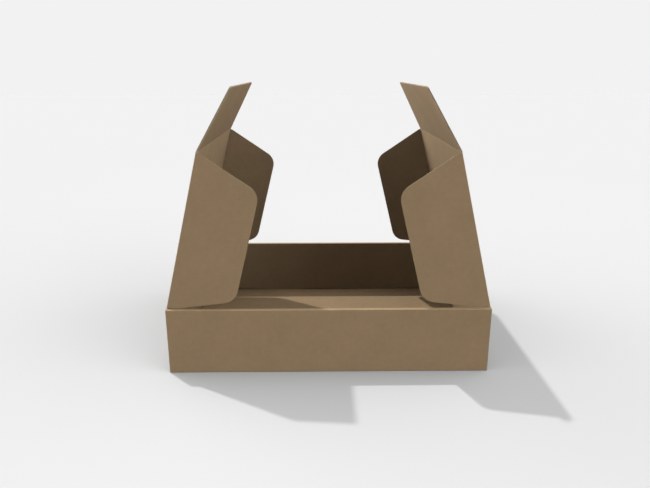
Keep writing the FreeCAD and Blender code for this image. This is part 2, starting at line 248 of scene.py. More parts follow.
PAPERS = [
    make_paper("kraft_liner", LINER_BROWN, cloud=0.20, fibre=0.30, stripe=0.008, relief=0.03 * MM),
    make_paper("cut_edge_paper", CUT_EDGE_BROWN_AND_HIGHLIGHT, cloud=0.10, fibre=0.45, stripe=0.0,
               relief=0.04 * MM),
    make_paper("fluting_paper", FLUTING_BROWN_AND_HIGHLIGHT, cloud=0.10, fibre=0.35, stripe=0.0,
               relief=0.03 * MM),
]
LINER, CUT_EDGE, FLUTING = range(3)        # their numbers in every piece
print("papers:", ", ".join(paper.name for paper in PAPERS))

# %% [markdown]
# ## Panels that remember the flat sheet
#
# Every panel of the box was a part of one flat sheet. A panel could be modelled standing in
# its place and unwrapped later, but then the maps would have to be fitted together by hand.
# So each is drawn flat and keeps two things: a matrix that carries it to its place on the box,
# and a shift that says where it lay in the sheet. On its own axes, x and y lie in the panel
# and z points to the outside of the box, so z = 0 is the middle of the board.

# %% Give a panel its place
RIGHT, BACK = Vector((1, 0, 0)), Vector((0, 1, 0))


class Place:
    """Where a flat panel stands on the box, and where it lay in the sheet."""

    def __init__(self, origin, x_axis, y_axis, sheet_origin, sheet_x=(1, 0), sheet_y=(0, 1)):
        x_axis, y_axis = Vector(x_axis).normalized(), Vector(y_axis).normalized()
        turn = Matrix((x_axis, y_axis, x_axis.cross(y_axis))).transposed()
        self.matrix = Matrix.Translation(Vector(origin)) @ turn.to_4x4()
        self.sheet_origin = Vector(sheet_origin)
        self.sheet_x, self.sheet_y = Vector(sheet_x), Vector(sheet_y)

    def on_sheet(self, point):
        """Where a point of the panel lay in the flat sheet."""
        return self.sheet_origin + self.sheet_x * point[0] + self.sheet_y * point[1]


floor = Place((0, 0, HALF_BOARD), RIGHT, -BACK, (0, 0), (1, 0), (0, -1))
print("the floor looks down:", [round(number) for number in floor.matrix.to_3x3().col[2]])

# %% [markdown]
# ## Outlines
#
# A panel's shape comes from a cutting die: straight knives with a rounded corner here and
# there. It could be traced with a curve object, but a list of corners is shorter to write and
# easier to change. The corners go anticlockwise as seen from outside the box. One with a third
# number is rounded by that radius. Each side is either a cut, where the board's layers show,
# or a fold, where the board goes on into the next panel.

# %% Draw and inset an outline
CORNER_STEPS = 9
NEARLY_STRAIGHT = 1e-4                     # below this turn a corner counts as straight


def round_off(last, here, following, radius):
    """Points of the arc that rounds a corner."""
    to_last, to_next = (last - here).normalized(), (following - here).normalized()
    half = to_last.angle(to_next) / 2
    centre = here + (to_last + to_next).normalized() * radius / math.sin(half)
    start = here + to_last * radius / math.tan(half) - centre
    sweep = math.copysign(math.pi - 2 * half, to_next.cross(to_last))
    return [centre + Matrix.Rotation(sweep * k / CORNER_STEPS, 2) @ start
            for k in range(CORNER_STEPS + 1)]


def draw_outline(corners, folds=()):
    """Points of an outline, and for each whether the side after it is cut. folds are the
    numbers of the corners that a fold starts from."""
    points, cuts = [], []
    for i, corner in enumerate(corners):
        here = Vector(corner[:2])
        if len(corner) == 3:
            last, following = corners[i - 1], corners[(i + 1) % len(corners)]
            arc = round_off(Vector(last[:2]), here, Vector(following[:2]), corner[2])
            points += arc
            cuts += [True] * (len(arc) - 1)
        else:
            points.append(here)
        cuts.append(i not in folds)
    return points, cuts


def inset(points, cuts, depth):
    """The outline with its cut sides moved in by depth, and its folds left where they are."""
    moved = []
    for i, point in enumerate(points):
        before = (point - points[i - 1]).normalized()
        after = (points[(i + 1) % len(points)] - point).normalized()
        depth_before, depth_after = depth * cuts[i - 1], depth * cuts[i]
        in_before, in_after = Vector((-before.y, before.x)), Vector((-after.y, after.x))
        if abs(before.cross(after)) < NEARLY_STRAIGHT:
            moved.append(point + in_after * depth_after)
        else:
            missing = depth_after - depth_before * in_before.dot(in_after)
            along = missing / in_after.dot(before)
            moved.append(point + in_before * depth_before + before * along)
    return moved


sample_points, sample_cuts = draw_outline([(0, 0), (1, 0, 0.2), (1, 1), (0, 1)], folds=(0,))
print("a square with one round corner:", len(sample_points), "points,",
      sample_cuts.count(False), "fold")

# %% [markdown]
# ## Corrugated edges
#
# A cut through corrugated board shows two liners with a wave of fluting between them. The wave
# could be drawn as a stripe in the paper's colour, but close up a real edge has depth. The
# wave follows a rule, so Geometry Nodes make it: the tree takes the path of a cut, lays it in
# even steps, lifts each step by a cosine of its place in the sheet, and sweeps a strip of
# paper along it. The flutes run along the depth of the sheet, so a cut across them shows the
# whole wave and a cut along them shows a straight strip, with no special case for either.

# %% Build the fluting tree
LINER_THICKNESS = 0.2 * MM
FLUTE_PAPER = 0.16 * MM
WAVE_HEIGHT = HALF_BOARD - LINER_THICKNESS - FLUTE_PAPER / 2
GROOVE_DEPTH = 0.35 * MM                   # how far in the fluting is modelled from a cut
STRIP_SETBACK = 0.04 * MM                  # from the liners' ends to the fluting's
STRIP_WIDTH = GROOVE_DEPTH - STRIP_SETBACK
STEPS_PER_WAVE = 10


def build_fluting_tree():
    """A wave of paper along the path of a cut."""
    tree = bpy.data.node_groups.new("fluting_along_a_cut", "GeometryNodeTree")
    add_sockets(tree, "INPUT", (
        ("Cut", "Geometry", None), ("Pitch", "Float", FLUTE_PITCH),
        ("Wave height", "Float", WAVE_HEIGHT), ("Paper", "Float", FLUTE_PAPER),
        ("Strip width", "Float", STRIP_WIDTH), ("Place in sheet", "Float", 0.0),
        ("Finish", "Material", None)))
    add_sockets(tree, "OUTPUT", (("Fluting", "Geometry", None),))
    given = add_node(tree, "NodeGroupInput").outputs

    path = add_node(tree, "GeometryNodeMeshToCurve", {0: given["Cut"]})
    step = calculate(tree, "DIVIDE", given["Pitch"], STEPS_PER_WAVE)
    even = add_node(tree, "GeometryNodeResampleCurve", {
        "Curve": path.outputs[0], "Length": step}, mode="LENGTH")

    position = add_node(tree, "GeometryNodeInputPosition")
    across = add_node(tree, "ShaderNodeSeparateXYZ", {0: position.outputs[0]}).outputs["X"]
    in_sheet = calculate(tree, "ADD", across, given["Place in sheet"])
    waves = calculate(tree, "DIVIDE", in_sheet, given["Pitch"])
    wave = calculate(tree, "COSINE", calculate(tree, "MULTIPLY", waves, 2 * math.pi))
    lift = add_node(tree, "ShaderNodeCombineXYZ", {
        "Z": calculate(tree, "MULTIPLY", wave, given["Wave height"])})
    waved = add_node(tree, "GeometryNodeSetPosition", {
        0: even.outputs[0], "Offset": lift.outputs[0]})

    level = add_node(tree, "GeometryNodeSetCurveNormal", {0: waved.outputs[0]}, mode="Z_UP")
    section = add_node(tree, "GeometryNodeCurvePrimitiveQuadrilateral", {
        "Width": given["Strip width"], "Height": given["Paper"]}, mode="RECTANGLE")
    strip = add_node(tree, "GeometryNodeCurveToMesh", {
        "Curve": level.outputs[0], "Profile Curve": section.outputs[0], "Fill Caps": True})
    real = add_node(tree, "GeometryNodeRealizeInstances", {0: strip.outputs[0]})
    finished = add_node(tree, "GeometryNodeSetMaterial", {
        0: real.outputs[0], "Material": given["Finish"]})
    add_node(tree, "NodeGroupOutput", {"Fluting": finished.outputs[0]})
    return tree


fluting_tree = build_fluting_tree()
fluting_inputs = {item.name: item.identifier for item in fluting_tree.interface.items_tree
                  if item.in_out == "INPUT"}
print("fluting tree inputs:", ", ".join(fluting_inputs))

# %% Run the tree along the cuts of an outline
def make_fluting(points, cuts, place):
    """Mesh of the fluting that shows along an outline's cuts, in the panel's own axes."""
    middle = inset(points, cuts, STRIP_SETBACK + STRIP_WIDTH / 2)
    edges = [(i, (i + 1) % len(points)) for i, cut in enumerate(cuts) if cut]
    mesh = bpy.data.meshes.new("cut_path")
    mesh.from_pydata([(*point, 0) for point in middle], edges, [])
    path = bpy.data.objects.new("cut_path", mesh)
    bpy.context.scene.collection.objects.link(path)
    modifier = path.modifiers.new("fluting", "NODES")
    modifier.node_group = fluting_tree
    modifier[fluting_inputs["Place in sheet"]] = place.sheet_x.x * place.sheet_origin.x
    modifier[fluting_inputs["Finish"]] = PAPERS[FLUTING]
    graph = bpy.context.evaluated_depsgraph_get()
    fluting = bpy.data.meshes.new_from_object(path.evaluated_get(graph))
    path.modifiers.remove(modifier)
    bpy.data.objects.remove(path)
    return fluting


print(f"fluting: {STRIP_WIDTH / MM:.2f} mm deep, waves {2 * WAVE_HEIGHT / MM:.2f} mm high")

# %% [markdown]
# ## Pieces and slabs
#
# A visible piece is a mesh of closed solids: slabs for the flat panels and strips for the
# creases. A slab could be a flat face with a Solidify modifier, but its cut edges would come
# out as one plain face. So its sides are built as rings: the outer liner's end, a groove for
# the fluting, and the inner liner's end. Each solid notes its place in the sheet as it is
# made, and has its faces turned outwards.

# %% Collect solids in a piece
WELD_DISTANCE = MM * 1e-4                  # nearer corners of a solid are one corner
SHARP_ANGLE = math.radians(40)


class Piece:
    """A visible piece in the making."""

    def __init__(self, name):
        self.name = name
        self.mesh = bmesh.new()
        self.sheet_map = self.mesh.loops.layers.uv.new("sheet")
        # Painted highlight and painted shade of the folds, per corner: 1 paints light, -1 paints
        # dark.
        self.fold_light_and_shade = self.mesh.verts.layers.float.new("fold_light_and_shade")

    def add_solid(self, to_box, polygons, smooth=False, fold_light_and_shade=None):
        """Add one closed solid. Each polygon is a list of (point, place on the sheet), and a
        paper; the matrix to_box carries the points to the box. The last argument gives, for some
        of the points, the painted light on a fold's liner: 1 is a painted highlight, -1 is
        painted shade."""
        corners, faces = {}, []
        for polygon, paper in polygons:
            used, spots = [], []
            for point, spot in polygon:
                key = tuple(round(number / WELD_DISTANCE) for number in point)
                if key not in corners:
                    corners[key] = self.mesh.verts.new(to_box @ Vector(point))
                    corners[key][self.fold_light_and_shade] = (fold_light_and_shade or {}).get(point, 0)
                if corners[key] not in used:
                    used.append(corners[key])
                    spots.append(spot)
            if len(used) > 2:
                face = self.mesh.faces.new(used)
                face.material_index, face.smooth = paper, smooth
                for loop, spot in zip(face.loops, spots):
                    loop[self.sheet_map].uv = spot
                faces.append(face)
        bmesh.ops.recalc_face_normals(self.mesh, faces=faces)
        many_sided = [face for face in faces if len(face.verts) > 4]
        bmesh.ops.triangulate(self.mesh, faces=many_sided)

    def finish(self):
        """Make the object, at the origin, with its place in its mesh."""
        mesh = bpy.data.meshes.new(self.name)
        self.mesh.to_mesh(mesh)
        self.mesh.free()
        for paper in PAPERS:
            mesh.materials.append(paper)
        mesh.set_sharp_from_angle(angle=SHARP_ANGLE)
        piece = bpy.data.objects.new(self.name, mesh)
        bpy.context.scene.collection.objects.link(piece)
        print(f"{self.name}: {sum(len(face.vertices) - 2 for face in mesh.polygons)} triangles")
        return piece


print(f"a piece can hold {len(PAPERS)} papers, and shades edges over",
      f"{math.degrees(SHARP_ANGLE):.0f} degrees as sharp")

# %% Make the sides and caps of a slab
LINER_INSIDE = HALF_BOARD - LINER_THICKNESS
SIDE_PAPERS = (CUT_EDGE, FLUTING, FLUTING, FLUTING, CUT_EDGE)


def box_outline(low, high):
    return [(low[0], low[1]), (high[0], low[1]), (high[0], high[1]), (low[0], high[1])]


def cap(outline, slots, height, place):
    """Triangles that cover an outline, but not its slots."""
    loops = [[Vector((*point, 0)) for point in loop] for loop in (outline, *slots)]
    flat = [point for loop in loops for point in loop]
    corners = [((point.x, point.y, height), place.on_sheet(point)) for point in flat]
    return [([corners[i] for i in triangle], LINER) for triangle in tessellate_polygon(loops)]


def slot_sides(slot, place):
    """The four sides of a slot through the board."""
    sides = []
    for start, end in zip(slot, slot[1:] + slot[:1]):
        corners = ((start, HALF_BOARD), (start, -HALF_BOARD),
                   (end, -HALF_BOARD), (end, HALF_BOARD))
        side = [((*spot, height), place.on_sheet(spot)) for spot, height in corners]
        sides.append((side, CUT_EDGE))
    return sides


def outer_sides(rings, cuts):
    """Sides from six rings: grooved at a cut, and one plain face at a fold."""
    sides = []
    for i, cut in enumerate(cuts):
        following = (i + 1) % len(cuts)
        if cut:
            for upper, lower, paper in zip(rings, rings[1:], SIDE_PAPERS):
                sides.append(([upper[i], lower[i], lower[following], upper[following]], paper))
        else:
            near, far = [ring[i] for ring in rings], [ring[following] for ring in rings]
            sides.append((near + far[::-1], CUT_EDGE))
    return sides


print("papers down a cut edge:", ", ".join(PAPERS[paper].name for paper in SIDE_PAPERS))

# %% Build a slab
def add_slab(piece, place, corners, folds=(), slots=(), fluted=True):
    """A flat panel of board: liners, a groove round its cut edges, and fluting in the groove."""
    points, cuts = draw_outline(corners, folds)
    if not fluted:
        cuts = [False] * len(points)
    core = inset(points, cuts, GROOVE_DEPTH)
    levels = ((points, HALF_BOARD), (points, LINER_INSIDE), (core, LINER_INSIDE),
              (core, -LINER_INSIDE), (points, -LINER_INSIDE), (points, -HALF_BOARD))
    rings = [[((spot.x, spot.y, height), place.on_sheet(spot)) for spot in outline]
             for outline, height in levels]

    polygons = outer_sides(rings, cuts)
    for slot in slots:
        polygons += slot_sides(slot, place)
    if slots:
        for height in (HALF_BOARD, -HALF_BOARD):
            polygons += cap(points, slots, height, place)
    else:
        polygons += [(rings[0], LINER), (rings[-1], LINER)]
    piece.add_solid(place.matrix, polygons)

    if any(cuts):
        fluting = make_fluting(points, cuts, place)
        spots = [(tuple(vertex.co), place.on_sheet(vertex.co)) for vertex in fluting.vertices]
        strips = [([spots[i] for i in face.vertices], FLUTING) for face in fluting.polygons]
        piece.add_solid(place.matrix, strips, smooth=True)
        bpy.data.meshes.remove(fluting)


print(f"slabs: {BOARD / MM:.2f} mm thick, with {GROOVE_DEPTH / MM:.2f} mm grooves")

# %% [markdown]
# ## Folds
#
# A crease is where a blunt rule pressed the board thin, so that it would fold there and nowhere
# else. Outside, the liner goes round in an arc, with a shallow pressed line on each side;
# inside, it is tucked into a narrow furrow. The liner's colour carries a little painted light
# as well: a painted highlight on the arc and on a folded top, and painted shade in the pressed
# lines. A bevel would round a sharp corner, but it has neither the lines nor the furrow. So a
# crease is a strip of its own, swept from a section, and a fold knows where its crease goes
# and where the next panel starts.

# %% Draw the section of a crease
QUARTER = math.pi / 2
CREASE_REACH = 1.8 * MM                    # of a square fold, to each side
LEAN_REACH = 1.0 * MM                      # of the slightly bent folds
FURROW_LIP = 0.25 * MM
FURROW_HALF_WIDTH = 0.5 * MM
FURROW_DEPTH = 0.2 * MM
DENT_FROM, DENT_TO = 0.35 * MM, 1.25 * MM  # the pressed line beside a square fold, outside
DENT_DEPTH = 0.1 * MM
PAINTED_SHADE, PAINTED_HIGHLIGHT = -1, 1                 # painted shade and painted highlight on a fold's liner
ARC_STEPS = 6
ARC_EASE = 0.1 * MM                        # keeps the arc's shading off the flat beside it


def beside_bend(bend, reach):
    """(distance, depth, painted highlight or shade) of the outside beside a bend, from its end
    inwards. A square fold has a pressed line on each side, with painted shade in it; where the
    next fold is too near for one, the whole strip between them gets a painted highlight."""
    if bend < QUARTER / 2:
        return [(reach, 0, 0), (ARC_EASE, 0, 0)]
    if reach < CREASE_REACH:
        return [(reach, 0, PAINTED_HIGHLIGHT), (ARC_EASE, 0, PAINTED_HIGHLIGHT)]
    return [(reach, 0, 0), (DENT_TO, 0, 0), ((DENT_FROM + DENT_TO) / 2, DENT_DEPTH, PAINTED_SHADE),
            (DENT_FROM, 0, 0), (ARC_EASE, 0, 0)]


def share_out(path, start, end):
    """Give each (point, painted highlight or shade) of a path its share of the way from start to
    end.
    """
    lengths = [0.0]
    for (last, _), (here, _) in zip(path, path[1:]):
        lengths.append(lengths[-1] + (here - last).length)
    return [(*point, fold_light_and_shade, start + (end - start) * length / lengths[-1])
            for (point, fold_light_and_shade), length in zip(path, lengths)]


def crease_section(bend, before, after):
    """Points (away, out, painted highlight or shade, place across the sheet) round a crease:
    over its outside from the first panel to the next, then back along its inside. The arc
    gets a painted highlight."""
    lean = Vector((math.cos(bend), -math.sin(bend)))
    out = Vector((math.sin(bend), math.cos(bend)))
    outside = [(Vector((-far, HALF_BOARD - deep)), fold_light_and_shade)
               for far, deep, fold_light_and_shade in beside_bend(bend, before)]
    # The whole arc gets a painted highlight.
    for k in range(ARC_STEPS + 1):
        angle = bend * k / ARC_STEPS
        outside.append((Vector((math.sin(angle), math.cos(angle))) * HALF_BOARD, PAINTED_HIGHLIGHT))
    outside += [(lean * far + out * (HALF_BOARD - deep), fold_light_and_shade)
                for far, deep, fold_light_and_shade in beside_bend(bend, after)[::-1]]

    lip = max(HALF_BOARD * math.tan(bend / 2) + FURROW_LIP, FURROW_HALF_WIDTH)
    half_out = Vector((math.sin(bend / 2), math.cos(bend / 2)))
    inside = [(spot, 0) for spot in (
        lean * after - out * HALF_BOARD, lean * lip - out * HALF_BOARD,
        -half_out * (HALF_BOARD - FURROW_DEPTH),
        Vector((-lip, -HALF_BOARD)), Vector((-before, -HALF_BOARD)))]
    return share_out(outside, -before, after), share_out(inside, after, -before)


outside, inside = crease_section(QUARTER, CREASE_REACH, CREASE_REACH)
print("a square crease:", len(outside), "points outside,", len(inside), "inside")


class Fold:
    """A fold line in a panel: where it is, which way the next panel goes, and how far it bends
    to the inside. The next panel's x axis, or its y axis, points away from the fold."""

    def __init__(self, panel, at, away, bend, away_axis="x"):
        self.bend, self.away_axis = bend, away_axis
        away = Vector(away)
        along = Vector((-away.y, away.x)) if away_axis == "x" else Vector((away.y, -away.x))
        turn = panel.matrix.to_3x3()
        self.origin = panel.matrix @ Vector((*at, 0))
        self.away, self.along = turn @ Vector((*away, 0)), turn @ Vector((*along, 0))
        self.out = turn.col[2]
        self.sheet_origin = panel.on_sheet(at)
        self.sheet_away = panel.sheet_x * away.x + panel.sheet_y * away.y
        self.sheet_along = panel.sheet_x * along.x + panel.sheet_y * along.y

    def next_panel(self):
        away = self.away * math.cos(self.bend) - self.out * math.sin(self.bend)
        axes, sheet_axes = (away, self.along), (self.sheet_away, self.sheet_along)
        if self.away_axis == "y":
            axes, sheet_axes = axes[::-1], sheet_axes[::-1]
        return Place(self.origin, *axes, self.sheet_origin, *sheet_axes)

    def add_crease(self, piece, low, high, before=CREASE_REACH, after=CREASE_REACH):
        """Add the creased strip to a piece, from low to high along the fold."""
        outside, inside = crease_section(self.bend, before, after)
        ring = outside + inside
        axes = Matrix((self.away, self.along, self.out)).transposed().to_4x4()

        def at(spot, along):
            away, out, fold_light_and_shade, across = spot
            on_sheet = self.sheet_origin + self.sheet_away * across + self.sheet_along * along
            return (away, along, out), on_sheet

        polygons = [([at(spot, end) for spot in ring], CUT_EDGE) for end in (low, high)]
        for i, spot in enumerate(ring):
            following = ring[(i + 1) % len(ring)]
            strip = [at(spot, low), at(spot, high), at(following, high), at(following, low)]
            meets_panel = i in (len(outside) - 1, len(ring) - 1)
            polygons.append((strip, CUT_EDGE if meets_panel else LINER))
        # Painted highlight and painted shade at each corner of the strip.
        fold_light_and_shade = {at(spot, end)[0]: spot[2] for spot in ring for end in (low, high)}
        piece.add_solid(Matrix.Translation(self.origin) @ axes, polygons, smooth=True, fold_light_and_shade=fold_light_and_shade)

    def bend_between(self, crease, reach, first, second):
        """Bake the finished crease's place into its mesh."""
        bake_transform(crease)


print(f"square folds: strips {2 * CREASE_REACH / MM:.1f} mm wide on the sheet")

# %% [markdown]
# ## The tray
#
# The floor turns up into four walls. The side walls are single and end in corner tabs, which
# fold inwards. The front and back walls are double: each goes up, over a flat top and down
# again, over the corner tabs, and its inner panel ends in two tabs that lock into slots in the
# floor. Each panel could be set down by its own coordinates, but one wrong number would leave
# a gap. So each wall is a chain of panels, every one placed by the fold before it, and the
# chain closes by itself when the sizes are right.

# %% Make the tray's floor
LAYER_GAP = 0.1 * MM                       # air between the layers of a double wall
WALL_INNER_FACE = HALF_DEPTH - 3 * BOARD - 2 * LAYER_GAP
INNER_PANEL_BACK = WALL_INNER_FACE + BOARD
LOCKING_TABS = (28.5 * MM, 89 * MM)        # from and to, on each side of the middle
SLOT_GAP = 0.15 * MM                       # air round a locking tab in its slot
FOLD_X, FOLD_Y = HALF_WIDTH - HALF_BOARD, HALF_DEPTH - HALF_BOARD


def slot_outline(side, end):
    """A slot in the floor, clockwise, because it is a hole."""
    near, far = end * (WALL_INNER_FACE - SLOT_GAP), end * (INNER_PANEL_BACK + SLOT_GAP)
    first, last = side * (LOCKING_TABS[0] - SLOT_GAP), side * (LOCKING_TABS[1] + SLOT_GAP)
    low, high = (min(first, last), min(near, far)), (max(first, last), max(near, far))
    return [Vector(corner) for corner in box_outline(low, high)][::-1]


def make_floor():
    piece = Piece("tray_floor")
    corner = (FOLD_X - CREASE_REACH, FOLD_Y - CREASE_REACH)
    slots = [slot_outline(side, end) for side in (-1, 1) for end in (-1, 1)]
    outline = box_outline((-corner[0], -corner[1]), corner)
    add_slab(piece, floor, outline, folds=range(4), slots=slots)
    return piece.finish()


tray_floor = make_floor()
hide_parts("tray")

# %% Make the tray's side walls
WALL_RISE = hinge_point.z - HALF_BOARD     # from the floor's fold to the lid's hinge line
SIDE_END = HALF_DEPTH - BOARD - LAYER_GAP  # the outside of the corner tabs
SHOULDER = HEIGHT - 2.9 * MM - HALF_BOARD  # the wall's top beside the lid, above the fold
TAB_LOW = 1.5 * BOARD                      # the corner tabs' lower edge, above the fold
TAB_LENGTH = 65 * MM - HALF_BOARD
TAB_TAPER = 6 * MM                         # taken off above and below at the free end


def make_side_wall(side, name):
    """A side wall with its corner tabs; also the fold that its lid hangs on."""
    piece = Piece(f"tray_{name}_wall")
    foot = Fold(floor, (side * FOLD_X, 0), (side, 0), QUARTER)
    foot.add_crease(piece, CREASE_REACH - FOLD_Y, FOLD_Y - CREASE_REACH)
    wall = foot.next_panel()

    tab_fold = SIDE_END - HALF_BOARD
    low, top, end = CREASE_REACH, WALL_RISE - LEAN_REACH, tab_fold - CREASE_REACH
    add_slab(piece, wall, [
        (low, -end), (SHOULDER, -end), (SHOULDER, -LID_HALF_DEPTH), (top, -LID_HALF_DEPTH),
        (top, LID_HALF_DEPTH), (SHOULDER, LID_HALF_DEPTH), (SHOULDER, end), (low, end)],
        folds=(0, 3, 6, 7))

    for end_side in (-1, 1):
        corner = Fold(wall, (0, end_side * tab_fold), (0, end_side), QUARTER, away_axis="y")
        first, last, taper = end_side * TAB_LOW, end_side * SHOULDER, end_side * TAB_TAPER
        corner.add_crease(piece, min(first, last), max(first, last))
        tab = [(first, CREASE_REACH), (last, CREASE_REACH),
               (last - taper, TAB_LENGTH), (first + taper, TAB_LENGTH)]
        add_slab(piece, corner.next_panel(), tab[::end_side], fluted=False)
    return piece.finish(), Fold(wall, (WALL_RISE, 0), (1, 0), HINGE_BEND)


side_walls = {name: make_side_wall(side, name) for side, name in ((-1, "left"), (1, "right"))}

# %% Make the tray's double walls
INNER_PANEL_LIFT = 1.2 * MM                # from the floor to the inner panel's lower edge
INNER_PANEL_END = HALF_WIDTH - BOARD - 0.3 * MM


def make_double_wall(end, name):
    """Outer panel, flat folded top and inner panel, with its locking tabs."""
    piece = Piece(f"tray_{name}_wall")
    foot = Fold(floor, (0, end * FOLD_Y), (0, end), QUARTER, away_axis="y")
    foot.add_crease(piece, -HALF_WIDTH, HALF_WIDTH)
    outer = foot.next_panel()
    rise = HEIGHT - BOARD
    outline = box_outline((-HALF_WIDTH, CREASE_REACH), (HALF_WIDTH, rise - CREASE_REACH))
    add_slab(piece, outer, outline, folds=(0, 2))

    top_width = HALF_DEPTH - WALL_INNER_FACE - BOARD
    outer_edge = Fold(outer, (0, rise), (0, 1), QUARTER, away_axis="y")
    outer_edge.add_crease(piece, -HALF_WIDTH, HALF_WIDTH, after=top_width / 2)
    inner_edge = Fold(outer_edge.next_panel(), (0, top_width), (0, 1), QUARTER, away_axis="y")
    inner_edge.add_crease(piece, -HALF_WIDTH, HALF_WIDTH, before=top_width / 2)

    tab_end = HEIGHT - HALF_BOARD
    panel_end = tab_end - BOARD - INNER_PANEL_LIFT
    edge, (near, far) = INNER_PANEL_END, LOCKING_TABS
    add_slab(piece, inner_edge.next_panel(), [
        (-edge, CREASE_REACH), (edge, CREASE_REACH), (edge, panel_end),
        (far, panel_end), (far, tab_end), (near, tab_end), (near, panel_end),
        (-near, panel_end), (-near, tab_end), (-far, tab_end), (-far, panel_end),
        (-edge, panel_end)], folds=(0,))
    return piece.finish()


double_walls = {name: make_double_wall(end, name) for end, name in ((1, "front"), (-1, "back"))}
for wall in [tray_floor, *double_walls.values(), *(wall for wall, hinge in side_walls.values())]:
    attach(wall, "tray")

# %% [markdown]
# ## The lids
#
# A lid hangs on the fold at the top of its side wall. It carries a dust flap on its front and
# back edges, and at its free end a tapered tuck flap, which slides down inside the box when
# the lid closes. Each panel rides on its own body of the model. The creases between them can't
# ride on either one alone: one end would swing away from its panel. So each crease is made
# where it stands and is left on no body.

# %% Make the crease of a moving fold, and a moving panel
def make_crease(fold, name, low, high, reach, first, second):
    """The crease of a moving fold, made in its place; first and second are not used."""
    piece = Piece(name)
    fold.add_crease(piece, low, high, reach, reach)
    crease = piece.finish()
    fold.bend_between(crease, reach, first, second)
    return crease


def make_panel(place, name, corners, folds):
    """A flat board that replaces, and rides on, the model's piece of the same name."""
    piece = Piece(f"{name}_board")
    add_slab(piece, place, corners, folds=folds)
    board = piece.finish()
    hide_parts(name)
    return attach(board, name)


print("moving folds:", len(joints))

# %% Shape the flaps
FLAP_INSET = 1.1 * MM                      # of a dust flap's crease, from the lid's corners
FLAP_REACH = 59.7 * MM
FLAP_SLOPE = math.tan(math.radians(20.4))
FLAP_ROOT_DROP = 1.2 * MM                  # how much wider the root is beside the hinge
FLAP_CORNER = 15 * MM
TUCK_REACH = 60.5 * MM
TUCK_HALF_DEPTH = LID_HALF_DEPTH - 0.2 * MM
TUCK_TAPER = 17.5 * MM
TUCK_CORNER = 3 * MM


def make_dust_flap(fold, name, lid_name, hinge_end):
    """A dust flap, as wide as its lid at the root; hinge_end is 0 or 1, the end of the fold
    that lies beside the lid's hinge."""
    low, high = FLAP_INSET, LID_LENGTH - FLAP_INSET
    make_crease(fold, name.replace("flap", "crease"), low, high, CREASE_REACH, lid_name, name)

    slant = FLAP_SLOPE * (FLAP_REACH + HALF_BOARD)
    drops = [FLAP_ROOT_DROP * (end == hinge_end) for end in (0, 1)]
    slope_starts = [(FLAP_INSET + drop) / FLAP_SLOPE - HALF_BOARD for drop in drops]
    make_panel(fold.next_panel(), name, [
        (low, CREASE_REACH), (high, CREASE_REACH), (high, slope_starts[1]),
        (LID_LENGTH + drops[1] - slant, FLAP_REACH, FLAP_CORNER),
        (slant - drops[0], FLAP_REACH, FLAP_CORNER), (low, slope_starts[0])], (0,))


def make_tuck_flap(fold, name, lid_name):
    """The tapered flap at a lid's free end."""
    make_crease(fold, name.replace("flap", "crease"), -TUCK_HALF_DEPTH, TUCK_HALF_DEPTH,
                LEAN_REACH, lid_name, name)
    root = TUCK_HALF_DEPTH - TUCK_TAPER * LEAN_REACH / TUCK_REACH
    free = TUCK_HALF_DEPTH - TUCK_TAPER
    make_panel(fold.next_panel(), name, [
        (LEAN_REACH, -root), (TUCK_REACH, -free, TUCK_CORNER),
        (TUCK_REACH, free, TUCK_CORNER), (LEAN_REACH, root)], (3,))


print(f"dust flaps reach {FLAP_REACH / MM:.1f} mm, tuck flaps {TUCK_REACH / MM:.1f} mm")

# %% Make the two lids with their flaps
def make_lid(side, hinge):
    """A lid on its hinge, with its tuck flap and its two dust flaps."""
    lid_name = f"{side}_lid"
    make_crease(hinge, f"{side}_hinge_crease", -LID_HALF_DEPTH, LID_HALF_DEPTH, LEAN_REACH,
                "tray", lid_name)
    lid = hinge.next_panel()
    half = FLAP_AXIS - CREASE_REACH
    outline = box_outline((LEAN_REACH, -half), (LID_LENGTH - LEAN_REACH, half))
    make_panel(lid, lid_name, outline, range(4))
    make_tuck_flap(Fold(lid, (LID_LENGTH, 0), (1, 0), TUCK_BEND), f"{side}_tuck_flap", lid_name)

    plus_end, minus_end = ("back", "front") if side == "left" else ("front", "back")
    plus_fold = Fold(lid, (0, FLAP_AXIS), (0, 1), QUARTER, away_axis="y")
    minus_fold = Fold(lid, (LID_LENGTH, -FLAP_AXIS), (0, -1), QUARTER, away_axis="y")
    for end, fold, hinge_end in ((plus_end, plus_fold, 0), (minus_end, minus_fold, 1)):
        make_dust_flap(fold, f"{side}_{end}_flap", lid_name, hinge_end)


for side, (wall, hinge) in side_walls.items():
    make_lid(side, hinge)

# %% [markdown]
# ## Ground
#
# The box stands on pale ground that melts into the backdrop. A curved studio sweep would do
# that too, but it shows its curve from other sides. Plain level ground works all round. Far
# off it takes the same tone as the backdrop, so no horizon shows.

# %% Lay the ground
GROUND_NEAR, GROUND_FAR = 0.865, 0.848
GROUND_FADE = (0.2, 1.2)                   # from and to, in metres from the box's middle
GROUND_HALF_SIZE = 6.0
GROUND_DROP = 0.1 * MM                     # keeps the ground off the tray's underside


